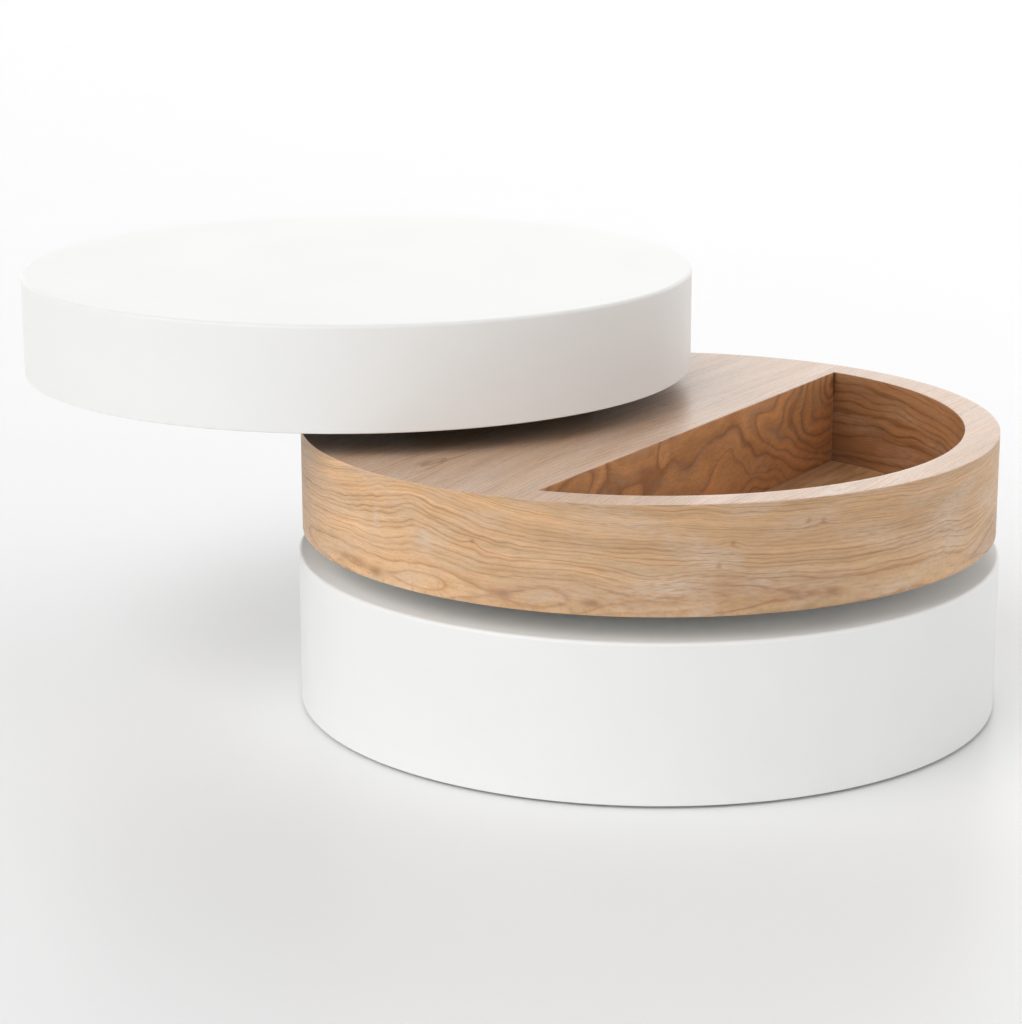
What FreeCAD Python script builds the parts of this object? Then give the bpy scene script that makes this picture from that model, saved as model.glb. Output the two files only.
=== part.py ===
import FreeCAD, Part
import math
import os

# Swivel coffee table: three round drums stacked on one off-centre swivel axis.
# Millimetres, +Z up. The origin is on the floor, under the swivel axis.
# +X points from the swivel axis to the centre of the base and of the middle drum.
# The top drum is turned half a turn from its closed place, so its centre lies at -X.

Vector = FreeCAD.Vector

# ---------------------------------------------------------------- drums
drum_radius = 400.0          # outside of the two white drums
middle_setback = 5.0         # the wooden drum stands this far inside the white ones
pivot_offset = drum_radius / 2  # swivel axis to the centre of every drum
base_height = 175.0
middle_height = 117.0
top_height = 118.0
edge_break = 1.5             # narrow bevel on the outer edges of the white drums

hoop_thickness = 12.0        # bent plywood side wall of each drum
face_panel_thickness = 18.0  # board that closes a white drum on its upper side
under_panel_thickness = 12.0 # board that closes a white drum on its lower side
middle_top_thickness = 12.0
middle_floor_thickness = 5.0 # underside of the wooden drum, and floor of its pocket
glue_line = 0.2              # play between a board's round edge and the hoop around it

# ---------------------------------------------------------------- pocket
rim_width = 39.0             # wooden rim between the pocket and the drum's outside
pocket_chord = 67.0          # drum centre to the pocket's straight wall
curved_wall_thickness = 6.0
straight_wall_thickness = 12.0
rim_spacer_count = 5
rim_spacer_pitch = 30.0      # degrees between two spacers
rim_spacer_width = 40.0

# ---------------------------------------------------------------- ribs inside the drums
rib_thickness = 12.0
long_rib_offset = 70.0       # drum axis to the middle of a rib that runs along X
pivot_block_length = 160.0   # along X, centred on the swivel axis
pivot_block_thickness = 36.0 # block in each white drum; the wooden drum's is full height
# A rib along Y butts against the end of the pivot block, and its twin lies as far
# on the other side of the drum's centre.
cross_rib_offset = pivot_offset - pivot_block_length / 2 - rib_thickness / 2

# ---------------------------------------------------------------- swivel units
spacer_thickness = 10.0
plate_thickness = 3.0
plate_side = 160.0
plate_corner_cut = 18.0      # each corner of a plate is clipped by this much

roller_count = 6
roller_diameter = 9.4
roller_length = 16.0
roller_mid_radius = 54.0     # swivel axis to the middle of a roller
running_gap = 0.3            # play of what rolls or slides
cage_thickness = 4.0
cage_edge = 6.0              # cage material outside the rollers' ends

shoulder_radius = 12.0       # the turning plate runs on this shoulder
shoulder_play = 0.05         # radial play of the plate on the shoulder
bolt_radius = 6.0
bolt_hole_play = 0.1
bolt_tip_clearance = 1.0     # bolt end above the drum that it stands on
bolt_head_width = 30.0       # across the flats
bolt_head_height = 5.0
head_room = 4.0              # play around the bolt head, and above it
nut_width = 19.0             # across the flats
nut_height = 7.0
nut_play = 0.3               # play around the nut in its hexagonal trap

# ---------------------------------------------------------------- glides
glide_count = 6
glide_side = 32.0
glide_height = 3.0
glide_inset = 60.0           # outside of the base to the middle of a glide

# ---------------------------------------------------------------- levels
roller_space = roller_diameter + 2 * running_gap
swivel_height = spacer_thickness + 2 * plate_thickness + roller_space

base_bottom = glide_height
base_top = base_bottom + base_height
middle_bottom = base_top + swivel_height
middle_top = middle_bottom + middle_height
top_bottom = middle_top + swivel_height
top_top = top_bottom + top_height

base_x = pivot_offset
middle_x = pivot_offset
top_x = -pivot_offset

middle_radius = drum_radius - middle_setback
pocket_radius = middle_radius - rim_width
pocket_x = middle_x + pocket_chord
pocket_floor = middle_bottom + middle_floor_thickness
pocket_roof = middle_top - middle_top_thickness
white_inside = drum_radius - hoop_thickness
glide_circle = drum_radius - glide_inset
middle_inside = middle_radius - hoop_thickness


# ---------------------------------------------------------------- plain shapes
def disc(radius, centre_x, low, high):
    return Part.makeCylinder(radius, high - low, Vector(centre_x, 0, low))


def ring(outer, inner, centre_x, low, high):
    return disc(outer, centre_x, low, high).cut(disc(inner, centre_x, low, high))


def board(x_low, x_high, y_low, y_high, low, high):
    return Part.makeBox(x_high - x_low, y_high - y_low, high - low, Vector(x_low, y_low, low))


def prism(sides, width, low, high):
    """Upright regular prism on the swivel axis; width is across the flats."""
    corner = width / 2 / math.cos(math.pi / sides)
    points = []
    for step in range(sides + 1):
        angle = math.radians(360.0 / sides * (step + 0.5))
        points.append(Vector(corner * math.cos(angle), corner * math.sin(angle), low))
    return Part.Face(Part.makePolygon(points)).extrude(Vector(0, 0, high - low))


def beyond(x_low, low, high):
    """Half space on the +X side of a plane, as a board wider than any drum."""
    return board(x_low, x_low + 2 * drum_radius, -drum_radius, drum_radius, low, high)


def joined(solids):
    return Part.makeCompound(solids)


# ---------------------------------------------------------------- drum shells
def hoop(radius, centre_x, low, high):
    """Side wall of a drum."""
    return ring(radius, radius - hoop_thickness, centre_x, low, high)


def white_hoop(centre_x, low, high):
    """Side wall of a white drum, with its two outer edges bevelled."""
    wall = hoop(drum_radius, centre_x, low, high)
    outer_edges = []
    for edge in wall.Edges:
        if isinstance(edge.Curve, Part.Circle) and abs(edge.Curve.Radius - drum_radius) < 0.01:
            outer_edges.append(edge)
    return wall.makeChamfer(edge_break, outer_edges)


def panel(inside_radius, centre_x, low, high):
    """Round board let into a hoop, flush with the hoop's edge."""
    return disc(inside_radius - glue_line, centre_x, low, high)


def bolt_recess(low):
    """Square room for the head of a swivel bolt, from the underside of the drum above."""
    half = bolt_head_width / 2 + head_room
    height = running_gap + bolt_head_height + head_room
    return board(-half, half, -half, half, low, low + height)


def base_bottom_panel():
    return panel(white_inside, base_x, base_bottom, base_bottom + under_panel_thickness)


def base_top_panel():
    return panel(white_inside, base_x, base_top - face_panel_thickness, base_top)


def top_face_panel():
    return panel(white_inside, top_x, top_top - face_panel_thickness, top_top)


def top_under_panel():
    body = panel(white_inside, top_x, top_bottom, top_bottom + under_panel_thickness)
    return body.cut(bolt_recess(top_bottom))


# ---------------------------------------------------------------- wooden drum
def pocket_room(grow, low, high):
    """D-shaped space of the pocket: a round room cut off by the straight wall."""
    return disc(pocket_radius + grow, middle_x, low, high).common(beyond(pocket_x, low, high))


def middle_top_panel():
    body = panel(middle_inside, middle_x, pocket_roof, middle_top)
    return body.cut(pocket_room(0, pocket_roof, middle_top))


def middle_bottom_panel():
    body = panel(middle_inside, middle_x, middle_bottom, pocket_floor)
    return body.cut(bolt_recess(middle_bottom))


def pocket_straight_wall():
    wall = board(pocket_x - straight_wall_thickness, pocket_x,
                 -middle_inside, middle_inside, pocket_floor, pocket_roof)
    return wall.common(panel(middle_inside, middle_x, pocket_floor, pocket_roof))


def pocket_curved_wall():
    outside = pocket_room(curved_wall_thickness, pocket_floor, pocket_roof)
    return outside.cut(pocket_room(0, pocket_floor, pocket_roof))


def rim_spacers():
    """Blocks that keep the curved wall at its distance from the hoop."""
    half_width = rim_spacer_width / 2
    inner = pocket_radius + curved_wall_thickness + glue_line
    room = ring(middle_inside - glue_line, inner, middle_x, pocket_floor, pocket_roof)
    block = board(middle_x, middle_x + middle_radius, -half_width, half_width,
                  pocket_floor, pocket_roof)
    first = -rim_spacer_pitch * (rim_spacer_count - 1) / 2
    spacers = []
    for step in range(rim_spacer_count):
        turned = block.copy()
        turned.rotate(Vector(middle_x, 0, 0), Vector(0, 0, 1), first + step * rim_spacer_pitch)
        spacers.append(turned.common(room))
    return joined(spacers)


# ---------------------------------------------------------------- ribs and pivot blocks
def long_rib(side, inside_radius, centre_x, low, high):
    middle = side * long_rib_offset
    rib = board(centre_x - inside_radius, centre_x + inside_radius,
                middle - rib_thickness / 2, middle + rib_thickness / 2, low, high)
    return rib.common(panel(inside_radius, centre_x, low, high))


def cross_rib(side, inside_radius, centre_x, low, high):
    middle = centre_x + side * cross_rib_offset
    rib = board(middle - rib_thickness / 2, middle + rib_thickness / 2,
                -inside_radius, inside_radius, low, high)
    return rib.common(panel(inside_radius, centre_x, low, high))


def rib_grid(centre_x, low, high):
    """Two long and two cross ribs of a white drum, halved into each other."""
    half_height = (low + high) / 2
    long_ribs = []
    cross_ribs = []
    for side in (-1, 1):
        rib = long_rib(side, white_inside, centre_x, low, high)
        for cross_side in (-1, 1):
            rib = rib.cut(cross_rib(cross_side, white_inside, centre_x, half_height, high))
        long_ribs.append(rib)
        rib = cross_rib(side, white_inside, centre_x, low, high)
        for long_side in (-1, 1):
            rib = rib.cut(long_rib(long_side, white_inside, centre_x, low, half_height))
        cross_ribs.append(rib)
    return joined(long_ribs), joined(cross_ribs)


def middle_long_ribs():
    ribs = []
    for side in (-1, 1):
        rib = long_rib(side, middle_inside, middle_x, pocket_floor, pocket_roof)
        ribs.append(rib.cut(beyond(pocket_x - straight_wall_thickness, pocket_floor, pocket_roof)))
    return joined(ribs)


def middle_cross_ribs():
    """Half ribs from each long rib of the closed half out to the hoop."""
    inner = long_rib_offset + rib_thickness / 2
    rib = cross_rib(-1, middle_inside, middle_x, pocket_floor, pocket_roof)
    rib = rib.cut(board(-drum_radius, drum_radius, -inner, inner, pocket_floor, pocket_roof))
    return joined(rib.Solids)


def pivot_block(low, high):
    """Block between the long ribs, on the swivel axis."""
    half_width = long_rib_offset - rib_thickness / 2
    half_length = pivot_block_length / 2
    return board(-half_length, half_length, -half_width, half_width, low, high)


def base_pivot_block():
    high = base_top - face_panel_thickness
    return pivot_block(high - pivot_block_thickness, high)


def middle_pivot_block():
    return pivot_block(pocket_floor, pocket_roof).cut(bolt_recess(middle_bottom))


def top_pivot_block():
    low = top_bottom + under_panel_thickness
    return pivot_block(low, low + pivot_block_thickness).cut(bolt_recess(top_bottom))


# ---------------------------------------------------------------- glides
def floor_glides():
    """Square pads in a ring under the base, each with a side towards the drum's centre."""
    half = glide_side / 2
    glides = []
    for step in range(glide_count):
        pad = board(base_x + glide_circle - half, base_x + glide_circle + half,
                    -half, half, 0, glide_height)
        angle = 360.0 / glide_count * (step + 0.5)
        pad.rotate(Vector(base_x, 0, 0), Vector(0, 0, 1), angle)
        glides.append(pad)
    return joined(glides)


# ---------------------------------------------------------------- swivel unit
def swivel_spacer(drum_top):
    """Square board that lifts the fixed plate; its hexagonal hole keeps the nut from turning."""
    half = plate_side / 2
    high = drum_top + spacer_thickness
    body = board(-half, half, -half, half, drum_top, high)
    return body.cut(prism(6, nut_width + 2 * nut_play, drum_top, high))


def swivel_plate(low, bore_radius):
    """Square steel plate with clipped corners and a round bore on the swivel axis."""
    half = plate_side / 2
    high = low + plate_thickness
    plate = board(-half, half, -half, half, low, high)
    upright = [edge for edge in plate.Edges if edge.tangentAt(edge.FirstParameter).z != 0]
    plate = plate.makeChamfer(plate_corner_cut, upright)
    return plate.cut(disc(bore_radius, 0, low, high))


def fixed_plate(drum_top):
    return swivel_plate(drum_top + spacer_thickness, bolt_radius + bolt_hole_play)


def turning_plate(drum_bottom):
    return swivel_plate(drum_bottom - plate_thickness, shoulder_radius + shoulder_play)


def around_axis(solid, step):
    turned = solid.copy()
    turned.rotate(Vector(0, 0, 0), Vector(0, 0, 1), 360.0 / roller_count * step)
    return turned


def roller_cage(drum_top):
    """Stamped cage that keeps the rollers apart; it runs on the bolt's shoulder."""
    mid = drum_top + spacer_thickness + plate_thickness + roller_space / 2
    low = mid - cage_thickness / 2
    high = mid + cage_thickness / 2
    width = 2 * roller_mid_radius + roller_length + 2 * cage_edge
    cage = prism(roller_count, width, low, high)
    cage = cage.cut(disc(shoulder_radius + running_gap, 0, low, high))
    half_length = roller_length / 2 + running_gap
    half_width = roller_diameter / 2 + running_gap
    window = board(roller_mid_radius - half_length, roller_mid_radius + half_length,
                   -half_width, half_width, low, high)
    for step in range(roller_count):
        cage = cage.cut(around_axis(window, step))
    return cage


def rollers(drum_top):
    mid = drum_top + spacer_thickness + plate_thickness + roller_space / 2
    start = Vector(roller_mid_radius - roller_length / 2, 0, mid)
    roller = Part.makeCylinder(roller_diameter / 2, roller_length, start, Vector(1, 0, 0))
    return joined([around_axis(roller, step) for step in range(roller_count)])


def swivel_bolt(drum_top):
    """Shoulder bolt put in from above: hexagonal head, shoulder and threaded end."""
    plate_top = drum_top + spacer_thickness + plate_thickness
    head_low = drum_top + swivel_height + running_gap
    end = disc(bolt_radius, 0, drum_top + bolt_tip_clearance, plate_top)
    shoulder = disc(shoulder_radius, 0, plate_top, head_low)
    head = prism(6, bolt_head_width, head_low, head_low + bolt_head_height)
    return end.fuse([shoulder, head]).removeSplitter()


def swivel_nut(drum_top):
    high = drum_top + spacer_thickness
    low = high - nut_height
    return prism(6, nut_width, low, high).cut(disc(bolt_radius + bolt_hole_play, 0, low, high))


def swivel_unit(level, drum_top):
    """All pieces of one swivel unit, between a drum's top and the drum above it."""
    return {
        level + "_swivel_spacer": swivel_spacer(drum_top),
        level + "_fixed_plate": fixed_plate(drum_top),
        level + "_turning_plate": turning_plate(drum_top + swivel_height),
        level + "_roller_cage": roller_cage(drum_top),
        level + "_rollers": rollers(drum_top),
        level + "_swivel_bolt": swivel_bolt(drum_top),
        level + "_swivel_nut": swivel_nut(drum_top),
    }


# ---------------------------------------------------------------- whole table
base_inner_low = base_bottom + under_panel_thickness
base_inner_high = base_top - face_panel_thickness
top_inner_low = top_bottom + under_panel_thickness
top_inner_high = top_top - face_panel_thickness
base_long_ribs, base_cross_ribs = rib_grid(base_x, base_inner_low, base_inner_high)
top_long_ribs, top_cross_ribs = rib_grid(top_x, top_inner_low, top_inner_high)

nodes = {
    "base_hoop": white_hoop(base_x, base_bottom, base_top),
    "base_top_panel": base_top_panel(),
    "base_bottom_panel": base_bottom_panel(),
    "base_long_ribs": base_long_ribs,
    "base_cross_ribs": base_cross_ribs,
    "base_pivot_block": base_pivot_block(),
    "floor_glides": floor_glides(),
    "middle_hoop": hoop(middle_radius, middle_x, middle_bottom, middle_top),
    "middle_top_panel": middle_top_panel(),
    "middle_bottom_panel": middle_bottom_panel(),
    "pocket_straight_wall": pocket_straight_wall(),
    "pocket_curved_wall": pocket_curved_wall(),
    "rim_spacers": rim_spacers(),
    "middle_long_ribs": middle_long_ribs(),
    "middle_cross_ribs": middle_cross_ribs(),
    "middle_pivot_block": middle_pivot_block(),
    "top_hoop": white_hoop(top_x, top_bottom, top_top),
    "top_face_panel": top_face_panel(),
    "top_under_panel": top_under_panel(),
    "top_long_ribs": top_long_ribs,
    "top_cross_ribs": top_cross_ribs,
    "top_pivot_block": top_pivot_block(),
}
nodes.update(swivel_unit("lower", base_top))
nodes.update(swivel_unit("upper", middle_top))

os.makedirs("parts", exist_ok=True)
for name, shape in nodes.items():
    shape.exportStep("parts/" + name + ".step")
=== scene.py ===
import bmesh
import bpy
import numpy as np
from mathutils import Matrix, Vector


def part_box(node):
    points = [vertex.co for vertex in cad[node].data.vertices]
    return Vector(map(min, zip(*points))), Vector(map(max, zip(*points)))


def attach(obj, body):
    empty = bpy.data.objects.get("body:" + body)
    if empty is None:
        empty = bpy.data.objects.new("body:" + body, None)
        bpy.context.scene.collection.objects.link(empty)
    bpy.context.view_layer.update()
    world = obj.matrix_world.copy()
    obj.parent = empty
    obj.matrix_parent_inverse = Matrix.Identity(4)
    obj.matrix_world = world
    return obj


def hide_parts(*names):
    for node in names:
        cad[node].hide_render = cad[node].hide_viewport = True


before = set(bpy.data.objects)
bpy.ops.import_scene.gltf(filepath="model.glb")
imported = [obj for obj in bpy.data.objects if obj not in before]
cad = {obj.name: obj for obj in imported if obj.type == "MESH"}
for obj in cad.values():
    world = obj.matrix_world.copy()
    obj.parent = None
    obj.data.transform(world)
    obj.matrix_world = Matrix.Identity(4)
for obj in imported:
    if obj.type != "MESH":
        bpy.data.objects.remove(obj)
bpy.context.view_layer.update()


# ---------------------------------------------------------------- base drum
# The base is a hoop of bent plywood with a board let into its upper end. Joint and edges are
# filled, sanded round and sprayed with white lacquer, so hoop and board look like one piece.
hoop_wall = 0.012
lacquered_lid = 0.018
upper_edge = 0.004
lower_edge = 0.0015
round_steps = 8
edge_guard = 1.4
drum_steps = 360
shell_rows = 0.02
weld_distance = 1e-6
sharp_turn = 50.0


def rounded(corners, radii):
    """Profile with its right-angled corners rounded. A corner p between the unit directions
    a (back) and b (onward) becomes the quarter circle c - radius (b cos t + a sin t) about
    c = p + radius (a + b). A guard point beyond each end of the arc keeps the flats flat."""
    corners = np.asarray(corners, dtype=float)
    turn = np.linspace(0.0, np.pi / 2, round_steps)[:, None]
    points = []
    for number, radius in enumerate(radii):
        corner = corners[number]
        if radius == 0:
            points.append(corner[None])
            continue
        back = corners[number - 1] - corner
        onward = corners[(number + 1) % len(corners)] - corner
        back /= np.linalg.norm(back)
        onward /= np.linalg.norm(onward)
        centre = corner + radius * (back + onward)
        arc = centre - radius * (onward * np.cos(turn) + back * np.sin(turn))
        guard = edge_guard * radius
        points += [(corner + guard * back)[None], arc, (corner + guard * onward)[None]]
    return np.vstack(points)


def finer(profile, longest):
    """The same profile with every stretch longer than longest cut into equal parts."""
    parts = []
    for start, end in zip(profile[:-1], profile[1:]):
        count = max(1, int(np.ceil(np.linalg.norm(end - start) / longest)))
        parts.append(start + (end - start) * np.arange(count)[:, None] / count)
    return np.vstack(parts + [profile[-1:]])


def turned(profile, centre_x, angles):
    """Grid of a profile (r, z) carried round the upright axis at centre_x: the point at
    angle a is (centre_x + r cos a, r sin a, z)."""
    r, z = profile[None, :, 0], profile[None, :, 1]
    a = angles[:, None]
    return np.stack([centre_x + r * np.cos(a), r * np.sin(a), z + 0 * a], axis=-1)


def skin(name, grid, path_closed=True, profile_closed=False, lengths=None, maps=None, places=None):
    """Closed mesh over a grid [path, profile, 3]. Path direction x profile direction points
    outwards. A profile that starts and ends on the axis closes in two poles, and an open
    path gets flat ends. lengths = (u along the path, v along the profile) in metres gives
    the UV map, and maps are functions of u and v, kept as attributes. places are offsets
    at which the whole mesh is repeated."""
    paths, points = grid.shape[:2]
    j = np.arange(paths if path_closed else paths - 1)[:, None]
    i = np.arange(points if profile_closed else points - 1)[None, :]
    corner_j = np.stack([j + 0 * i, j + 1 + 0 * i, j + 1 + 0 * i, j + 0 * i], axis=-1).reshape(-1, 4)
    corner_i = np.stack([i + 0 * j, i + 0 * j, i + 1 + 0 * j, i + 1 + 0 * j], axis=-1).reshape(-1, 4)
    faces = (corner_j % paths) * points + corner_i % points
    vertices = grid.reshape(-1, 3)
    if places is not None:
        offsets = np.asarray(places, dtype=float)
        faces = (faces[None] + len(vertices) * np.arange(len(offsets))[:, None, None]).reshape(-1, 4)
        vertices = (vertices[None] + offsets[:, None]).reshape(-1, 3)
    face_list = faces.tolist()
    if not path_closed:
        face_list.append(list(range(points)))
        face_list.append(list(range((paths - 1) * points, paths * points))[::-1])
    mesh = bpy.data.meshes.new(name)
    mesh.from_pydata(vertices.tolist(), [], face_list)
    if lengths is not None:
        uv = np.stack([lengths[0][corner_j], lengths[1][corner_i]], axis=-1).reshape(-1, 2)
        uv = np.vstack([uv, np.zeros((len(mesh.loops) - len(uv), 2))])
        mesh.uv_layers.new(name="grain").data.foreach_set("uv", uv.ravel())
        for label, function in maps.items():
            values = function(uv[:, 0], uv[:, 1])
            mesh.attributes.new(label, "FLOAT", "CORNER").data.foreach_set("value", values)
    return welded(mesh)


def welded(mesh):
    """Object of the mesh, after points in the same place have become one. It is shaded
    smooth, except over edges that turn by more degrees than sharp_turn."""
    loose = bmesh.new()
    loose.from_mesh(mesh)
    bmesh.ops.remove_doubles(loose, verts=loose.verts, dist=weld_distance)
    loose.to_mesh(mesh)
    loose.free()
    mesh.polygons.foreach_set("use_smooth", np.ones(len(mesh.polygons), dtype=bool))
    mesh.set_sharp_from_angle(angle=np.radians(sharp_turn))
    piece = bpy.data.objects.new(mesh.name, mesh)
    bpy.context.scene.collection.objects.link(piece)
    return piece


def drum_of(hoop):
    """Centre x, outside radius, underside and top of the drum that a CAD hoop belongs to."""
    low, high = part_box(hoop)
    return (low[0] + high[0]) / 2, (high[1] - low[1]) / 2, low[2], high[2]


def lacquered_shell(name, hoop):
    """Hoop and closed upper side of a white drum as one turned shell: from the axis out
    under the board, down inside the hoop, round its lower edge, up outside, and back in."""
    centre, radius, low, high = drum_of(hoop)
    inside = radius - hoop_wall
    under = high - lacquered_lid
    profile = rounded(
        [(0, under), (inside, under), (inside, low), (radius, low), (radius, high), (0, high)],
        [0, 0, 0, lower_edge, upper_edge, 0])
    angles = np.linspace(0, 2 * np.pi, drum_steps, endpoint=False)
    return skin(name, turned(finer(profile, shell_rows), centre, angles))


def srgb(code):
    """Linear colour of an sRGB hex code: the channel / 12.92 where it is below 0.04045,
    otherwise ((channel + 0.055) / 1.055) to the power 2.4."""
    channels = np.array([int(code[k:k + 2], 16) for k in (1, 3, 5)]) / 255
    linear = np.where(channels < 0.04045, channels / 12.92, ((channels + 0.055) / 1.055) ** 2.4)
    return (*linear.tolist(), 1.0)


def add(material, kind, links=None, values=None, stops=None, **settings):
    """Adds one node: links and values go to its inputs by name or number, stops are a colour
    ramp's (position, colour) pairs, and settings are the node's own properties."""
    tree = material.node_tree
    made = tree.nodes.new(kind)
    for key, value in settings.items():
        setattr(made, key, value)
    for key, value in (values or {}).items():
        made.inputs[key].default_value = value
    for key, socket in (links or {}).items():
        tree.links.new(socket, made.inputs[key])
    for number, (position, colour) in enumerate(stops or []):
        ramp = made.color_ramp.elements
        stop = ramp[number] if number < 2 else ramp.new(position)
        stop.position = position
        stop.color = colour
    return made


def noise(material, coordinates, scale, detail, distortion=0.0):
    """Noise over the coordinates. scale is its number of grains per unit of length, one for
    all axes or one for each."""
    if isinstance(scale, tuple):
        coordinates = add(material, "ShaderNodeVectorMath", {0: coordinates}, {1: scale},
                          operation="MULTIPLY").outputs[0]
        scale = 1.0
    values = {"Scale": scale, "Detail": detail, "Distortion": distortion}
    return add(material, "ShaderNodeTexNoise", {"Vector": coordinates}, values).outputs["Fac"]


def ranged(material, value, start=0.0, end=1.0, low=0.0, high=1.0, kind="LINEAR"):
    """Runs from low to high while value runs from start to end, and stays level outside."""
    limits = {"From Min": start, "From Max": end, "To Min": low, "To Max": high}
    made = add(material, "ShaderNodeMapRange", {"Value": value}, limits, interpolation_type=kind)
    return made.outputs["Result"]


def shaded(material, value, dark, light, low=0.3, high=0.7):
    """Colour that runs from dark to light while value runs from low to high."""
    stops = [(low, srgb(dark)), (high, srgb(light))]
    return add(material, "ShaderNodeValToRGB", {"Fac": value}, stops=stops).outputs["Color"]


def embossed(material, height, strength, depth, invert=False):
    """Normal of a surface raised by height times depth in metres, at the given strength."""
    values = {"Strength": strength, "Distance": depth}
    return add(material, "ShaderNodeBump", {"Height": height}, values, invert=invert).outputs["Normal"]


def finish_named(name):
    """A new material and its Principled shader."""
    material = bpy.data.materials.new(name)
    material.use_nodes = True
    return material, material.node_tree.nodes["Principled BSDF"]


def connect(material, shader, outputs):
    """Connects outputs to the shader's inputs of the given names."""
    for name, output in outputs.items():
        material.node_tree.links.new(output, shader.inputs[name])


def paint(material, *pieces):
    """Gives new pieces or CAD nodes this material."""
    for piece in pieces:
        if piece.material_slots:
            for place in piece.material_slots:
                place.material = material
        else:
            piece.data.materials.append(material)


# White polyurethane lacquer, sprayed and rubbed to a satin sheen: an almost even white with a
# very shallow orange peel, about 3 mm from crest to crest, and slightly cloudy gloss.
lacquer, shader = finish_named("white satin polyurethane lacquer")
place = add(lacquer, "ShaderNodeTexCoord").outputs["Object"]
cloud = noise(lacquer, place, 1 / 0.12, 2.0)
peel = noise(lacquer, place, 1 / 0.003, 1.0)
connect(lacquer, shader, {"Base Color": shaded(lacquer, cloud, "#F5F5F3", "#F7F7F5"),
                          "Roughness": ranged(lacquer, cloud, 0.3, 0.7, 0.36, 0.42),
                          "Normal": embossed(lacquer, peel, 0.15, 0.00003)})
shader.inputs["IOR"].default_value = 1.5

base_shell = lacquered_shell("base_shell", "base_hoop")
paint(lacquer, base_shell, cad["base_bottom_panel"])
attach(base_shell, "base")
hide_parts("base_hoop", "base_top_panel")


# ---------------------------------------------------------------- wooden drum: side veneer
# The side of the middle drum is a plywood hoop faced with ash veneer. The sheet is crown cut
# and laid lengthwise round the drum: above, its growth rings run level, and near the lower
# edge they close in flames. The two ends of the sheet meet in a butt joint at the back.
ring_pitch = 0.0034
pith_depth = 0.034
pith_height = 0.016
crest_place = -0.265
crest_rise = 0.036
crest_foot = 0.015
crest_span = 0.105
side_edge = 0.0006
lid_veneer = 0.0006
seam_angle = np.radians(119.0)
side_rows = 0.0024
side_columns = 1200
edge_steps = 5
wave_count = 16


def drift(u, v, along, across, size, seed):
    """Smooth random wandering: the sum of wave_count sine waves whose lengths along and
    across the grain are drawn between the given limits, size being its usual height."""
    draw = np.random.default_rng(seed)
    total = np.zeros_like(u)
    for wave in range(wave_count):
        along_length = draw.uniform(*along)
        across_length = draw.uniform(*across) * draw.choice([-1, 1])
        start = draw.uniform(0, 2 * np.pi)
        total += np.sin(2 * np.pi * (u / along_length + v / across_length) + start)
    return size * total / np.sqrt(wave_count / 2)


def swell(u, v, humps):
    """Sum of bell-shaped humps (u, v, half width along, half width across, height): each
    is height times exp(-(du / along)^2 - (dv / across)^2)."""
    total = np.zeros_like(u)
    for at_u, at_v, along, across, height in humps:
        total += height * np.exp(-((u - at_u) / along) ** 2 - ((v - at_v) / across) ** 2)
    return total


side_knots = [(0.087, 0.076), (0.073, 0.053), (0.185, 0.092), (0.168, 0.094), (-0.185, 0.066),
              (-0.92, 0.05)]
side_flames = [(-0.321, 0.009), (-0.148, 0.015), (-0.056, 0.013), (0.198, 0.016)]


def side_growth(u, v):
    """Ring number on the side veneer. The sheet passes the pith line at a depth d that
    changes along the trunk, so a ring of radius R lies where d^2 + w^2 = R^2, w being the
    height over the pith line after drift, a crest beside a branch, and small eyes."""
    lenses = 0.0016 * np.cos(2 * np.pi * (u + 0.25) / 0.15) * np.exp(-((u + 0.13) / 0.2) ** 2)
    depth = pith_depth + 0.008 * np.sin(2 * np.pi * u / 1.2) - lenses
    pith = pith_height + 0.003 * np.sin(2 * np.pi * u / 0.7 + 1.0)
    crest = np.exp(-((u - crest_place) / np.where(u < crest_place, 0.150, 0.14)) ** 2)
    height = np.clip((v - crest_foot) / crest_span, 0, 1)
    raised = crest_rise * crest * height ** 2 * (3 - 2 * height)
    raised += drift(u, v, (0.16, 0.5), (0.15, 0.6), 0.0015, 5)
    raised += drift(u, v, (0.05, 0.12), (0.03, 0.09), 0.0004, 6)
    raised += drift(u, v, (0.020, 0.045), (0.02, 0.05), 0.00018, 8)
    raised += swell(u, v, [
        (-0.262, 0.078, 0.020, 0.030, 0.003),
        (0.000, 0.042, 0.038, 0.016, -0.009),
        (0.360, 0.060, 0.030, 0.020, 0.005),
        (0.420, 0.030, 0.050, 0.020, -0.007),
    ])
    raised += swell(u, v, [(*knot, 0.012, 0.005, 0.0035) for knot in side_knots])
    return np.sqrt(depth ** 2 + (v - raised - pith) ** 2) / ring_pitch


def side_stain(u, v):
    """Darkness of the knots, of the reddish tips of the flames, and of two broad patches low on the front,
    0 to about 1.
    """
    spots = swell(u, v, [(*knot, 0.0028, 0.0022, 0.7) for knot in side_knots])
    spots += swell(u, v, [(*flame, 0.010, 0.004, 0.65) for flame in side_flames])
    return spots + swell(u, v, [(0.080, 0.030, 0.050, 0.014, 0.22), (-0.110, 0.022, 0.060, 0.012, 0.15)])


def side_liming(u, v):
    """Share of pale filler in the open grain: a thin film all over and a few worn patches."""
    film = 0.16 + np.clip(drift(u, v, (0.08, 0.3), (0.03, 0.08), 0.16, 7), -0.1, 0.5)
    return film + swell(u, v, [
        (0.025, 0.032, 0.045, 0.013, 0.9),
        (0.060, 0.062, 0.030, 0.012, 0.45),
        (-0.050, 0.095, 0.040, 0.014, 0.3),
        (-0.243, 0.055, 0.020, 0.012, 0.6),
        (-0.318, 0.070, 0.005, 0.011, 0.7),
        (-0.100, 0.018, 0.030, 0.009, 0.6),
        (0.365, 0.065, 0.035, 0.022, 0.7),
    ])


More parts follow.
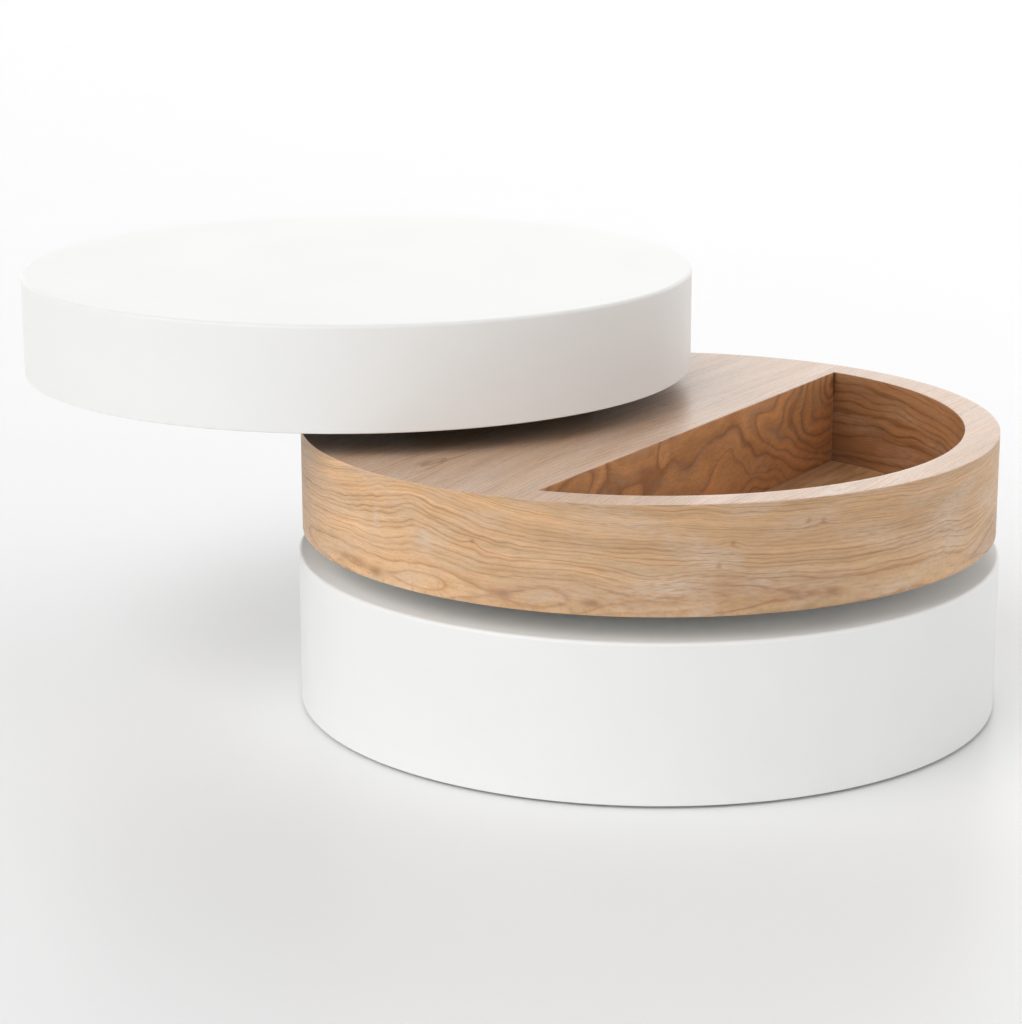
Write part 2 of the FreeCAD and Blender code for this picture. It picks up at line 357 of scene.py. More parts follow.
def side_painted_light(u, v):
    """Lightness of the sheet, 1 being usual: painted light makes it paler at the left of the front, and
    painted shade makes it deeper at its right."""
    return 1 + 0.13 * np.exp(-((u + 0.40) / 0.18) ** 2) - 0.15 * np.exp(-((u - 0.13) / 0.19) ** 2)


def heights_round(section):
    """Heights over the drum's underside of a closed section (r, z), its start repeated."""
    return np.append(section[:, 1], section[0, 1]) - middle_low


side_maps = {"growth": side_growth, "stain_and_shade": side_stain, "liming": side_liming, "lightness": side_painted_light}
middle_centre, middle_radius, middle_low, middle_high = drum_of("middle_hoop")
middle_inside = middle_radius - hoop_wall
veneer_low = middle_high - lid_veneer
# The section goes down inside the hoop and up outside. Its lower outer corner is a quarter
# round, and it stops below the sheet that covers the top.
outer = finer(np.array([(middle_radius, middle_low + side_edge), (middle_radius, veneer_low)]), side_rows)
turn = np.linspace(0, np.pi / 2, edge_steps)[:-1, None]
corner = side_edge * np.hstack([np.sin(turn), -np.cos(turn)])
corner += (middle_radius - side_edge, middle_low + side_edge)
profile = np.vstack([(middle_inside, veneer_low), (middle_inside, middle_low), corner, outer])
angles = seam_angle + np.linspace(0, 2 * np.pi, side_columns, endpoint=False)
around = middle_radius * (np.linspace(0, 2 * np.pi, side_columns + 1) - np.pi)
side = skin("middle_side_veneer", turned(profile, middle_centre, angles), profile_closed=True,
            lengths=(around, heights_round(profile)), maps=side_maps)

fibre_pitch = 0.006


def scaled(material, value, factor, plus=None, clamp=False):
    """value times factor, plus another output where one is given."""
    links = {0: value} if plus is None else {0: value, 2: plus}
    operation = "MULTIPLY" if plus is None else "MULTIPLY_ADD"
    made = add(material, "ShaderNodeMath", links, {1: factor}, operation=operation, use_clamp=clamp)
    return made.outputs[0]


def laid_over(material, share, colour, code):
    """Colour under a share of the plain colour of a hex code."""
    mixed = add(material, "ShaderNodeMix", {0: share, 6: colour}, {7: srgb(code)}, data_type="RGBA")
    return mixed.outputs[2]


def veneer(name, late, body, early, pale, knot, roughness, unevenness):
    """Material of oiled veneer, in flow coordinates: u along the grain in metres and the growth attribute
    across it in rings; fibres run finer still. Within a ring the colour runs from dark late wood through
    the body to early wood, years differ in width and strength, pores are dashes along the flow, and the
    liming and stain attributes add pale filler, dark knots and joints, and on the pocket walls painted
    shade at their foot. The lightness attribute scales the colour, and on the side veneer it is painted
    light and shade."""
    made, shader = finish_named(name)
    sheet = add(made, "ShaderNodeUVMap", uv_map="grain").outputs["UV"]
    split = add(made, "ShaderNodeSeparateXYZ", {0: sheet})
    rings, lightness, liming, stain_and_shade = [
        add(made, "ShaderNodeAttribute", attribute_name=label).outputs["Fac"]
        for label in ("growth", "lightness", "liming", "stain_and_shade")]
    across = scaled(made, split.outputs["Y"], 1 / fibre_pitch, rings)
    flow = add(made, "ShaderNodeCombineXYZ", {"X": split.outputs["X"], "Y": rings}).outputs[0]
    fibres = add(made, "ShaderNodeCombineXYZ", {"X": split.outputs["X"], "Y": across}).outputs[0]

    # Rings with ragged edges, of uneven width and strength from year to year.
    ragged = noise(made, flow, (1 / 0.055, 1.3, 1.0), 3.0)
    years = add(made, "ShaderNodeTexNoise", {"W": scaled(made, rings, 0.55)},
                {"Scale": 1.0, "Detail": 1.0}, noise_dimensions="1D").outputs["Fac"]
    year = scaled(made, years, 1.6, scaled(made, ragged, 0.7, rings))
    inside = add(made, "ShaderNodeMath", {0: year}, operation="FRACT").outputs[0]
    number = add(made, "ShaderNodeMath", {0: year}, operation="FLOOR").outputs[0]
    chance = add(made, "ShaderNodeTexWhiteNoise", {"W": number}, noise_dimensions="1D").outputs["Value"]
    strength = ranged(made, chance, low=0.26, high=0.76)
    ring = add(made, "ShaderNodeValToRGB", {"Fac": inside},
               stops=[(0.0, srgb(late)), (0.06, srgb(late)), (0.22, srgb(body)), (0.62, srgb(early)),
                      (0.92, srgb(body)), (1.0, srgb(late))]).outputs["Color"]
    wood = add(made, "ShaderNodeMix", {0: strength, 7: ring}, {6: srgb(body)}, data_type="RGBA").outputs[2]

    # Lighter and darker stretches, broad and fine.
    broad = noise(made, flow, (1 / 0.22, 0.30, 1.0), 3.0)
    fine = noise(made, fibres, (1 / 0.020, 1.6, 1.0), 4.0)
    light = ranged(made, scaled(made, broad, 1.3, fine), 0.75, 1.55,
                   1 - 0.22 * unevenness, 1 + 0.12 * unevenness)
    # The lightness attribute multiplies in here; on the side veneer it is painted light and shade.
    lit = add(made, "ShaderNodeMath", {0: light, 1: lightness}, operation="MULTIPLY").outputs[0]
    toned = add(made, "ShaderNodeVectorMath", {0: wood, 3: lit}, operation="SCALE").outputs[0]

    # Open pores, pale filler in the grain, and dark knots, joints and painted shade carried by the stain
    # attribute.
    pore = ranged(made, noise(made, fibres, (1 / 0.005, 4.0, 1.0), 1.0), 0.55, 0.72)
    pored = laid_over(made, scaled(made, pore, 0.36), toned, late)
    streak = ranged(made, noise(made, fibres, (1 / 0.014, 1.8, 1.0), 2.0), 0.32, 0.68)
    filled = add(made, "ShaderNodeMath", {0: streak, 1: liming}, operation="MULTIPLY", use_clamp=True)
    limed = laid_over(made, filled.outputs[0], pored, pale)
    stained_and_shaded = laid_over(made, scaled(made, stain_and_shade, 0.8, clamp=True), limed, knot)
    connect(made, shader, {"Base Color": stained_and_shaded,
                           "Roughness": ranged(made, pore, low=roughness, high=roughness + 0.12),
                           "Normal": embossed(made, pore, 0.25, 0.00012, invert=True)})
    return made


# Ash, crown cut, oiled matt: warm tan with reddish late wood and a trace of pale filler.
side_ash = veneer("oiled ash veneer, crown cut", late="#B27D50", body="#D9AC7E", early="#E3BE92",
                  pale="#DCCBBB", knot="#8A4E2E", roughness=0.45, unevenness=1.3)
paint(side_ash, side)
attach(side, "middle")
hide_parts("middle_hoop")


# ---------------------------------------------------------------- wooden drum: pocket walls
# The pocket is lined with a straight board and a bent one, both faced with brown veneer whose
# rings swirl on the straight board and run level on the bent one. They are glued to the floor.
straight_low, straight_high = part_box("pocket_straight_wall")
pocket_floor, pocket_roof = straight_low[2], straight_high[2]
chord_back, chord = straight_low[0] - middle_centre, straight_high[0] - middle_centre
pocket_radius = 0.356
pocket_wall = 0.006
glue_line = 0.0002
wall_rows = 0.003
straight_columns = 251
curved_columns = 301
wall_pitch = 0.011
figured_pitch = 0.0115
pith_line = 0.100
# foot_reach and foot_darkness size the painted shade at the foot of the pocket walls.
foot_reach = 0.003
foot_darkness = 0.35
glue_bead = 0.0028
joint_line = 0.0022
open_joint = 0.088
pocket_corner = np.sqrt(pocket_radius ** 2 - chord ** 2)
bow_end = pocket_radius * np.arccos(chord / pocket_radius)


def foot_shade(v):
    """Painted shade at the foot of a pocket wall, where it meets the floor: it falls to 1 / e over
    foot_reach.
    """
    return foot_darkness * np.exp(-(v - pocket_floor + middle_low) / foot_reach)


def joint_shade(distance, v, gaping, glued):
    """Darkness of the joint in the pocket's corners, which gapes above open_joint."""
    return np.where(v > open_joint, gaping, glued) * np.exp(-(distance / joint_line) ** 2)


def straight_growth(u, v):
    """Ring number on the straight wall, from y along it and z above the drum's underside.
    The pith line runs near the upper edge. Its depth d falls away toward the far end, so
    rings of radius R lie where d^2 + w^2 = R^2, w being the distance to that line, and turn
    up there as arcs. Two eyes bend them nearer the middle."""
    far = np.clip((u - 0.08) / 0.26, 0, 1)
    depth = 0.100 - 0.090 * far ** 2
    depth += swell(u, v, [(0.079, 0.080, 0.020, 0.060, 0.0035), (-0.088, 0.100, 0.014, 0.015, -0.014)])
    bent = np.sqrt(depth ** 2 + (pith_line - v) ** 2)
    bent += drift(u, v, (0.15, 0.4), (0.08, 0.2), 0.0055, 15)
    bent += drift(u, v, (0.05, 0.10), (0.04, 0.08), 0.0012, 12)
    return bent / figured_pitch


def straight_liming(u, v):
    """Share of pale filler on the straight wall: thin, more in some rings, with a scratch
    that slants upwards and a bead of glue low in the far corner."""
    scratch = np.exp(-((v - 0.054 + 0.2 * (u + 0.08)) / 0.0015) ** 2 - ((u + 0.04) / 0.045) ** 2)
    glue = np.exp(-((u - pocket_corner) / glue_bead) ** 2) * (v < open_joint)
    uneven = np.clip(0.6 + drift(u, v, (0.10, 0.3), (0.05, 0.12), 0.35, 17), 0, 1)
    rings = uneven * (0.5 + 0.5 * np.cos(2 * np.pi * straight_growth(u, v))) ** 4
    film = 0.06 + 0.55 * rings + np.clip(drift(u, v, (0.1, 0.3), (0.03, 0.08), 0.10, 13), -0.05, 0.4)
    return film + 0.5 * scratch + 1.6 * glue


def straight_lightness(u, v):
    """Lightness of the straight wall, 1 being usual: broad bands that follow the rings."""
    phase = 2 * np.pi * straight_growth(u, v) + drift(u, v, (0.15, 0.4), (0.05, 0.12), 0.9, 16)
    return 1.19 + 0.11 * np.sin(phase) + drift(u, v, (0.15, 0.4), (0.06, 0.15), 0.04, 14)


def straight_joint_and_foot_shade(u, v):
    """Painted shade at the foot of the straight wall, and darkness of the joint in its corners."""
    return foot_shade(v) + joint_shade(np.abs(u) - pocket_corner, v, 1.0, 0.05)


def curved_growth(u, v):
    """Ring number on the curved wall, from the arc length along it and z."""
    bent = v + drift(u, v, (0.3, 0.7), (0.2, 0.5), 0.008, 21)
    bent += drift(u, v, (0.06, 0.14), (0.04, 0.09), 0.0012, 22)
    return bent / wall_pitch


def curved_streaks_joint_and_foot_shade(u, v):
    """Painted shade at the foot of the curved wall, darkness of the joint in its corners, and streaks in
    its figure.
    """
    streaks = [(0.425, 0.061, 0.035, 0.006, 0.45), (0.350, 0.051, 0.075, 0.004, 0.45),
               (0.430, 0.099, 0.060, 0.003, 0.30)]
    return foot_shade(v) + joint_shade(np.abs(u) - bow_end, v, 0.9, 0.1) + swell(u, v, streaks)


def curved_lightness(u, v):
    """Lightness of the curved wall, 1 being usual: a deep tone, deeper toward its far corner."""
    return 0.77 - 0.22 * np.exp(-((u - 0.50) / 0.10) ** 2 - ((v - 0.03) / 0.08) ** 2)


def plain_liming(u, v):
    """An even trace of pale filler with slow changes."""
    return 0.10 + np.clip(drift(u, v, (0.1, 0.3), (0.03, 0.08), 0.12, 23), -0.1, 0.5)


straight_maps = {"growth": straight_growth, "stain_and_shade": straight_joint_and_foot_shade, "liming": straight_liming,
                 "lightness": straight_lightness}
curved_maps = {"growth": curved_growth, "stain_and_shade": curved_streaks_joint_and_foot_shade, "liming": plain_liming,
               "lightness": curved_lightness}


def wall_section(start, end):
    """Points (r, z) round a pocket wall's upright section, up at start and down at end."""
    corners = [(start, pocket_floor), (start, pocket_roof), (end, pocket_roof), (end, pocket_floor),
               (start, pocket_floor)]
    return finer(np.array(corners), wall_rows)[:-1]


# The straight board ends a glue line short of the hoop.
section = wall_section(chord, chord_back)
r, z = section[None, :, 0], section[None, :, 1]
straight_end = np.sqrt((middle_inside - glue_line) ** 2 - chord ** 2)
along = np.linspace(-straight_end, straight_end, straight_columns)
y = along[:, None]
grid = np.stack([middle_centre + r + 0 * y, y + 0 * r, z + 0 * y], axis=-1)
straight_wall = skin("pocket_straight_veneer", grid, path_closed=False, profile_closed=True,
                     lengths=(along, heights_round(section)), maps=straight_maps)

# The bent board runs to the face of the straight one, so r cos(reach) = chord at its ends.
section = wall_section(pocket_radius + pocket_wall, pocket_radius)
r, z = section[None, :, 0], section[None, :, 1]
share = np.linspace(-1, 1, curved_columns)
reach = np.arccos(chord / r) * share[:, None]
grid = np.stack([middle_centre + r * np.cos(reach), r * np.sin(reach), z + 0 * reach], axis=-1)
curved_wall = skin("pocket_curved_veneer", grid, path_closed=False, profile_closed=True,
                   lengths=(bow_end * share, heights_round(section)), maps=curved_maps)

# Brown veneer, oiled, in two figures: dark wavy rings on the bent board, and on the
# straight board broad swirls with thin dark outlines and pale filler along them.
brown = veneer("oiled brown veneer, plain", late="#8C5A2C", body="#C48B5C", early="#D29C6C",
               pale="#BFA690", knot="#5E3A20", roughness=0.42, unevenness=1.4)
figured = veneer("oiled brown veneer, figured", late="#8E6040", body="#C08A5A", early="#D09A66",
                 pale="#BFA690", knot="#5E3A20", roughness=0.42, unevenness=1.1)
paint(figured, straight_wall)
paint(brown, curved_wall)
for piece, node in ((straight_wall, "pocket_straight_wall"), (curved_wall, "pocket_curved_wall")):
    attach(piece, "middle")
    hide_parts(node)


# ---------------------------------------------------------------- wooden drum: top
# The top is a round board with the D-shaped pocket cut through it. One sheet of ash veneer,
# grain parallel to the straight wall, covers the board and the upper edge of the hoop. The
# cut edge round the pocket is faced with the brown veneer of the walls.
lid_edge = 0.0004
edge_middle = 0.3
lid_pitch = 0.0036
corner_rows = 40
pocket_rows = 361
closed_columns = 90
rim_columns = 10


def lid_grid(outer, pocket, straight):
    """Points (x, y) of the board in plan. Rows run along x at y = outer sin t; each has a
    left part, from the circle to the straight wall, and a right part, from the pocket's arc
    to the circle. Past the pocket's corners the two parts meet."""
    corner = np.sqrt(pocket ** 2 - straight ** 2)
    turn = np.arcsin(corner / outer)
    t = np.concatenate([np.linspace(-np.pi / 2, -turn, corner_rows),
                        np.linspace(-turn, turn, pocket_rows)[1:-1],
                        np.linspace(turn, np.pi / 2, corner_rows)])
    y = outer * np.sin(t)
    edge = outer * np.cos(t)
    beyond = np.abs(y) > corner - 1e-9
    meeting = straight * edge / np.sqrt(outer ** 2 - corner ** 2)
    left_end = np.where(beyond, meeting, straight)
    right_start = np.where(beyond, meeting, np.sqrt(np.maximum(pocket ** 2 - y ** 2, 0)))
    s = np.linspace(0, 1, closed_columns)
    left = -edge[:, None] + (left_end + edge)[:, None] * s
    s = np.linspace(0, 1, rim_columns)
    right = right_start[:, None] + (edge - right_start)[:, None] * s
    x = np.hstack([left, right])
    return np.stack([x, y[:, None] + 0 * x], axis=-1)


def lid_growth(u, v):
    """Ring number on the top: distance across the grain, bent by drift and two humps."""
    bent = v + drift(u, v, (0.4, 1.2), (0.2, 0.8), 0.006, 31)
    bent += drift(u, v, (0.08, 0.2), (0.02, 0.06), 0.0006, 32)
    bent += swell(u, v, [(-0.30, -0.098, 0.060, 0.012, 0.016), (0.15, -0.18, 0.20, 0.030, -0.030)])
    return bent / lid_pitch


def lid_stain(u, v):
    """Darkness of the knots on the top."""
    return swell(u, v, [(0.075, -0.020, 0.004, 0.003, 0.8), (-0.311, -0.098, 0.014, 0.005, 0.6),
                        (-0.12, -0.27, 0.004, 0.003, 0.8)])


def lid_liming(u, v):
    """Share of pale filler on the top: more than on the side, in slow bands."""
    return 0.27 + np.clip(drift(u, v, (0.2, 0.6), (0.03, 0.10), 0.12, 33), -0.2, 0.5)


def even_lightness(u, v):
    """Lightness of the top: 1 everywhere."""
    return np.ones_like(u)


lid_maps = {"growth": lid_growth, "stain_and_shade": lid_stain, "liming": lid_liming, "lightness": even_lightness}


def lid_board():
    """Board from three kinds of faces: the flat top and underside, a skirt of loops round
    the outside, and a skirt round the pocket. Both skirts start on the underside's loops and
    end on the top's, so they close the board. Loops run so that faces point outwards. The
    upper edges are quarter rounds of radius lid_edge in two steps, edge_middle being how
    far in the point between them lies, as a share of the radius."""
    shallow = edge_middle * lid_edge
    board_radius = middle_inside - glue_line
    below = (board_radius, 0.0, pocket_roof)
    above = (middle_radius - lid_edge, lid_edge, middle_high)
    softened = [(middle_radius, 0.0, middle_high - lid_edge),
                (middle_radius - shallow, shallow, middle_high - shallow), above]
    outside = [below, (board_radius, 0.0, veneer_low), (middle_radius, 0.0, veneer_low)] + softened
    inside = [below] + [(middle_radius, 0.0, height)
                        for height in np.arange(pocket_roof + wall_rows, veneer_low, wall_rows)] + softened
    rows = 2 * corner_rows + pocket_rows - 2
    columns = closed_columns + rim_columns
    left = np.arange(rows) * columns
    outer_loop = np.concatenate([left[::-1], left + columns - 1])
    pocket_left = left[corner_rows - 1:corner_rows - 1 + pocket_rows] + closed_columns - 1
    pocket_loop = np.concatenate([pocket_left, pocket_left[::-1] + 1])

    points, faces, uvs, finishes = [], [], [], []
    maps = {label: [] for label in lid_maps}

    def plan(outer, cut, height):
        """One level of the board: outer radius, how far the pocket is widened, and height."""
        flat = lid_grid(outer, pocket_radius + cut, chord - cut).reshape(-1, 2)
        return np.column_stack([middle_centre + flat[:, 0], flat[:, 1], np.full(len(flat), height)])

    def take(vertices, quads, u, v, values, slots):
        """Adds faces on vertices of their own, with sheet coordinates, map values and slots."""
        faces.append(quads + sum(len(group) for group in points))
        points.append(vertices)
        uvs.append(np.stack([u, v], axis=-1))
        finishes.append(slots)
        for label, value in values.items():
            maps[label].append(value)

    row, column = np.meshgrid(np.arange(rows - 1), np.arange(columns - 1), indexing="ij")
    solid = column != closed_columns - 1
    first = (row * columns + column)[solid]
    quads = np.stack([first, first + 1, first + columns + 1, first + columns], axis=-1)
    for level, order in ((below, -1), (above, 1)):
        sheet = plan(*level)
        outward = quads[:, ::order]
        corners = sheet[outward]
        u, v = corners[..., 1].ravel(), corners[..., 0].ravel() - middle_centre
        values = {label: function(u, v) for label, function in lid_maps.items()}
        take(sheet, outward, u, v, values, np.zeros(len(quads), dtype=int))
    for loop, levels, is_pocket in ((outer_loop, outside, False), (pocket_loop, inside, True)):
        band = np.stack([plan(*level)[loop] for level in levels]).reshape(-1, 3)
        size = len(loop)
        level, k = np.meshgrid(np.arange(len(levels) - 1) * size, np.arange(size), indexing="ij")
        level, k = level.ravel(), k.ravel()
        onward = (k + 1) % size
        quads = np.stack([level + k, level + onward, level + size + onward, level + size + k], axis=-1)
        corners = band[quads]
        angle = np.arctan2(corners[..., 1], corners[..., 0] - middle_centre).ravel()
        v = corners[..., 2].ravel() - middle_low
        if is_pocket:
            straight = k < pocket_rows
            on_straight = np.repeat(straight, 4)
            u = np.where(on_straight, corners[..., 1].ravel(), pocket_radius * angle)
            values = {label: np.where(on_straight, straight_maps[label](u, v), curved_maps[label](u, v))
                      for label in lid_maps}
            slots = np.where(straight, 2, 1)
        else:
            u = middle_radius * ((angle - seam_angle) % (2 * np.pi) - np.pi)
            values = {label: function(u, v) for label, function in side_maps.items()}
            slots = np.zeros(len(quads), dtype=int)
        take(band, quads, u, v, values, slots)
    mesh = bpy.data.meshes.new("middle_top_board")
    mesh.from_pydata(np.vstack(points).tolist(), [], np.vstack(faces).tolist())
    mesh.polygons.foreach_set("material_index", np.concatenate(finishes))
    mesh.uv_layers.new(name="grain").data.foreach_set("uv", np.vstack(uvs).ravel())
    for label, values in maps.items():
        mesh.attributes.new(label, "FLOAT", "CORNER").data.foreach_set("value", np.concatenate(values))
    return welded(mesh)


top_board = lid_board()
# Ash, quarter cut, limed and oiled to a low sheen: close straight lines with pale filler.
top_ash = veneer("limed ash veneer, quarter cut", late="#815541", body="#DDB694", early="#E4C3A4",
                 pale="#E8DAD0", knot="#94623F", roughness=0.30, unevenness=0.9)
for finish in (top_ash, brown, figured):
    top_board.data.materials.append(finish)
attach(top_board, "middle")
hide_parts("middle_top_panel")


# ---------------------------------------------------------------- wooden drum: floor
# Thin plywood closes the drum below and is the floor of the pocket. Above it has a plain
# brownish rotary-cut veneer with a soft figure; below it is sprayed white like the base.
floor_ply, shader = finish_named("oiled rotary-cut plywood, white below")
place = add(floor_ply, "ShaderNodeTexCoord").outputs["Object"]
figure = noise(floor_ply, place, (1 / 0.012, 1 / 0.10, 1.0), 5.0, distortion=1.2)
fine = noise(floor_ply, place, (1 / 0.0012, 1 / 0.015, 1.0), 2.0)
tone = add(floor_ply, "ShaderNodeValToRGB", {"Fac": figure},
           stops=[(0.3, srgb("#AD835C")), (0.5, srgb("#CBA078")), (0.7, srgb("#DAB591"))])
fleck = add(floor_ply, "ShaderNodeMix", {0: fine, 6: tone.outputs["Color"]}, {7: srgb("#D8C8B8")},
            data_type="RGBA", blend_type="MULTIPLY")
height = add(floor_ply, "ShaderNodeSeparateXYZ", {0: place}).outputs["Z"]
ply_middle = (middle_low + pocket_floor) / 2
upper = add(floor_ply, "ShaderNodeMath", {0: height}, {1: ply_middle}, operation="GREATER_THAN")
faced = add(floor_ply, "ShaderNodeMix", {0: upper.outputs[0], 7: fleck.outputs[2]}, {6: srgb("#F2F1EF")},
            data_type="RGBA")
connect(floor_ply, shader, {"Base Color": faced.outputs[2]})
shader.inputs["Roughness"].default_value = 0.45
paint(floor_ply, cad["middle_bottom_panel"])


# ---------------------------------------------------------------- top drum
# The top is made like the base, but not as high. The board let into its lower end is painted black, so the
# gap over the wooden drum looks dark: the black stands in for part of the shade in that gap, painted shade.
top_shell = lacquered_shell("top_shell", "top_hoop")
paint(lacquer, top_shell)
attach(top_shell, "top")
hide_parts("top_hoop", "top_face_panel")


# ---------------------------------------------------------------- inside the drums
# Ribs, pivot blocks and rim spacers are sawn from poplar board and stapled; nothing of them
# is finished, so they keep a pale, slightly furry sawn face with saw marks across the grain.
poplar, shader = finish_named("sawn poplar board")
place = add(poplar, "ShaderNodeTexCoord").outputs["Object"]
grain = noise(poplar, place, (1 / 0.12, 1 / 0.12, 1 / 0.004), 4.0)
saw = noise(poplar, place, 1 / 0.0015, 2.0)
connect(poplar, shader, {"Base Color": shaded(poplar, grain, "#B79A73", "#D9C29C"),
                         "Normal": embossed(poplar, saw, 0.4, 0.0002)})
shader.inputs["Roughness"].default_value = 0.8
paint(poplar, *[cad[name] for name in (
    "base_long_ribs", "base_cross_ribs", "base_pivot_block", "rim_spacers", "middle_long_ribs",
    "middle_cross_ribs", "middle_pivot_block", "top_long_ribs", "top_cross_ribs", "top_pivot_block")])


# ---------------------------------------------------------------- swivel units
# Between two drums a square board, two steel plates and a cage of rollers turn about a
# shoulder bolt. Board and plates are black, bolt, nut and rollers zinc plated, cage nylon.
def grained(name, scale, detail, dark, light, strength, depth, roughness):
    """Finish with one fine texture, which shades its colour and stands up as relief."""
    made, shader = finish_named(name)
    place = add(made, "ShaderNodeTexCoord").outputs["Object"]
    texture = noise(made, place, scale, detail)
    connect(made, shader, {"Base Color": shaded(made, texture, dark, light),
                           "Normal": embossed(made, texture, strength, depth)})
    shader.inputs["Roughness"].default_value = roughness
    return made


# Board under the top drum and spacers: matt black paint, brushed on. Under the top drum the black is also
# painted shade for the gap above the wooden drum.
black_board_and_gap_shade = grained("black painted board", 1 / 0.004, 3.0, "#1B1A19", "#2A2826", 0.3, 0.0002, 0.7)
paint(black_board_and_gap_shade, cad["lower_swivel_spacer"], cad["upper_swivel_spacer"], cad["top_under_panel"])

powder, shader = finish_named("black powder coat on steel")
place = add(powder, "ShaderNodeTexCoord").outputs["Object"]
grit = noise(powder, place, 1 / 0.0008, 1.0)
connect(powder, shader, {"Roughness": ranged(powder, grit, low=0.38, high=0.55),
                         "Normal": embossed(powder, grit, 0.4, 0.00008)})
shader.inputs["Base Color"].default_value = srgb("#202122")

zinc, shader = finish_named("zinc-plated steel")
place = add(zinc, "ShaderNodeTexCoord").outputs["Object"]
bloom = noise(zinc, place, 1 / 0.006, 3.0)
connect(zinc, shader, {"Base Color": shaded(zinc, bloom, "#A9ADB2", "#C6C8C6", 0.35, 0.65),
                       "Roughness": ranged(zinc, bloom, low=0.28, high=0.42)})
shader.inputs["Metallic"].default_value = 1.0

nylon = grained("moulded nylon", 1 / 0.002, 2.0, "#D6D1C2", "#DDD8CA", 0.2, 0.00005, 0.45)
for level in ("lower_", "upper_"):
    paint(powder, cad[level + "fixed_plate"], cad[level + "turning_plate"])
    paint(zinc, cad[level + "swivel_bolt"], cad[level + "swivel_nut"], cad[level + "rollers"])
    paint(nylon, cad[level + "roller_cage"])


# ---------------------------------------------------------------- plate screws
# Four pan-head wood screws with cross recesses hold each steel plate, near its corners and
# outside the roller cage. Their heads stand in the gap between the two plates.
screw_reach = 0.061
screw_steps = 72
head_radius = 0.0045
head_height = 0.0025
rim_height = 0.0002
dome_angle = 1.05
dome_steps = 9
recess_radius = 0.0024
recess_depth = 0.0015
recess_taper = 0.9
arm_depth = 0.75


def screw_heads(name, plate, upright, body):
    """Heads on the plate's free face. On the dome r = head_radius cos t, and z rises with
    sin t from rim_height to head_height. In the recess the radius at angle a shrinks by
    arm_depth (1 - |cos 2a|^6), which gives a cross."""
    low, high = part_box(plate)
    face = high[2] if upright else low[2]
    t = np.linspace(0, dome_angle, dome_steps)
    dome = rim_height + (head_height - rim_height) * np.sin(t) / np.sin(t[-1])
    foot = recess_taper * recess_radius
    floor = head_height - recess_depth
    recess = [recess_radius, recess_radius, foot, 0.0]
    radius = np.concatenate([[0.0, head_radius], head_radius * np.cos(t), recess])
    rise = np.concatenate([[0.0, 0.0], dome, [head_height, head_height, floor, floor]])
    crossed = np.concatenate([np.zeros(len(radius) - 3), [1.0, 1.0, 0.0]])
    angles = np.linspace(0, 2 * np.pi, screw_steps, endpoint=False)
    lobes = 1 - arm_depth * crossed[None, :] * (1 - np.abs(np.cos(2 * angles[:, None])) ** 6)
    grid = turned(np.column_stack([radius, rise]), 0.0, angles)
    grid[..., :2] *= lobes[..., None]
    if not upright:
        grid = grid[:, ::-1] * (1, 1, -1)
    corners = [(x * screw_reach, y * screw_reach, face) for x in (-1, 1) for y in (-1, 1)]
    heads = skin(name, grid, places=corners)
    paint(zinc, heads)
    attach(heads, body)


screw_heads("lower_fixed_screws", "lower_fixed_plate", True, "base")
screw_heads("lower_turning_screws", "lower_turning_plate", False, "middle")
screw_heads("upper_fixed_screws", "upper_fixed_plate", True, "middle")
screw_heads("upper_turning_screws", "upper_turning_plate", False, "top")


# ---------------------------------------------------------------- floor glides
# Six black nylon pads are pressed onto the underside of the base near its edge. The moulded
# plastic is matt, with a fine even grain.
pad = grained("black moulded nylon", 1 / 0.001, 2.0, "#1E1E1F", "#2A2A2B", 0.3, 0.00006, 0.55)
paint(pad, cad["floor_glides"])


# ---------------------------------------------------------------- camera
# A long lens looks down at the table from the front, a little to the right of the swivel. It
# looks 14.57 degrees down, and its place, turn and lens fit the drums' rims to the photograph.
camera = bpy.data.objects.new("camera", bpy.data.cameras.new("camera"))
bpy.context.scene.collection.objects.link(camera)
camera.location = (1.65995, -2.63614, 0.99394)
camera.rotation_euler = np.radians((75.43, 0.1175, 31.927))
camera.data.sensor_width = 36.0
camera.data.lens = 95.126
bpy.context.scene.camera = camera


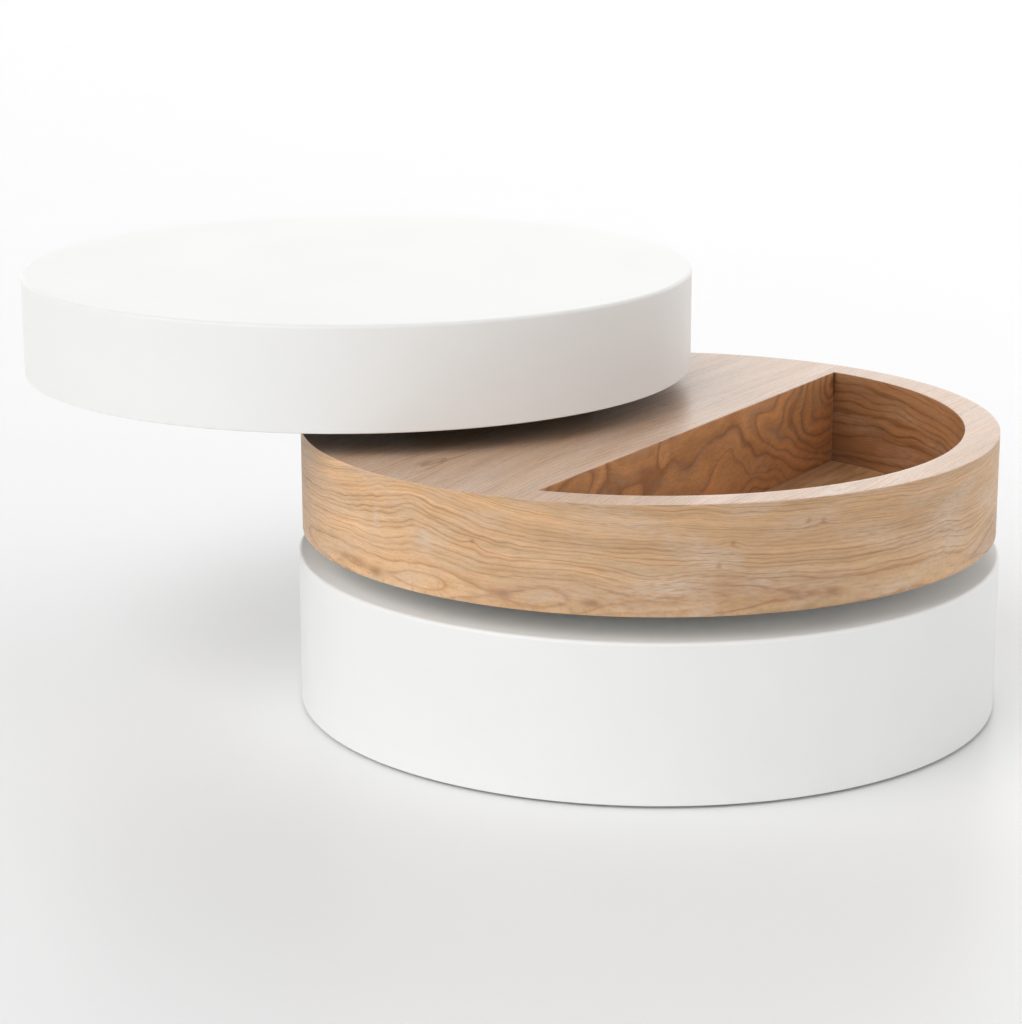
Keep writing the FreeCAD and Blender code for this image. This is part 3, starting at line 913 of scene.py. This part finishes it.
# ---------------------------------------------------------------- floor and light
# A pale seamless floor, even light that fades upwards and to the left, a lit wall behind the
# table that shows in its glossy faces, and a large soft box high in front, left of the camera.
floor_reach = 30
floor_mesh = bpy.data.meshes.new("studio_floor")
floor_corners = [(x * floor_reach, y * floor_reach, 0) for x, y in ((-1, -1), (1, -1), (1, 1), (-1, 1))]
floor_mesh.from_pydata(floor_corners, [], [(0, 1, 2, 3)])
studio_floor = bpy.data.objects.new("studio_floor", floor_mesh)
bpy.context.scene.collection.objects.link(studio_floor)
paper, shader = finish_named("white paper backdrop")
place = add(paper, "ShaderNodeTexCoord").outputs["Object"]
tooth = noise(paper, place, 1 / 0.5, 2.0)
connect(paper, shader, {"Base Color": shaded(paper, tooth, "#F6F6F6", "#F7F7F7")})
shader.inputs["Roughness"].default_value = 0.35
paint(paper, studio_floor)

sky = bpy.data.worlds.new("soft studio light")
bpy.context.scene.world = sky
sky.use_nodes = True
background = sky.node_tree.nodes["Background"]
background.inputs["Color"].default_value = (1.0, 1.0, 1.0, 1.0)
direction = add(sky, "ShaderNodeTexCoord").outputs["Generated"]
to_right = (0.8, 0.6, 0.0)
to_zenith = (0.0, 0.0, 1.0)
to_wall = (-0.529, 0.848, 0.0)
to_soft_box = (-0.296, -0.662, 0.688)


def facing(vector):
    """How far a direction of the sky points along vector: their scalar product."""
    product = add(sky, "ShaderNodeVectorMath", {0: direction}, {1: vector}, operation="DOT_PRODUCT")
    return product.outputs["Value"]


sides = ranged(sky, facing(to_right), -1.0, 1.0, 0.37, 1.39)
height = ranged(sky, facing(to_zenith), 0.0, 1.0, 1.0, 0.2)
wall = ranged(sky, facing(to_wall), 0.30, 0.96, 0.0, 0.78, "SMOOTHSTEP")
soft_box = ranged(sky, facing(to_soft_box), 0.75, 0.97, 0.0, 2.17, "SMOOTHSTEP")
lamps = add(sky, "ShaderNodeMath", {0: wall, 1: soft_box}, operation="ADD")
strength = add(sky, "ShaderNodeMath", {0: sides, 1: height, 2: lamps.outputs[0]}, operation="MULTIPLY_ADD")
connect(sky, background, {"Strength": strength.outputs[0]})
bpy.context.scene.view_settings.view_transform = "Standard"
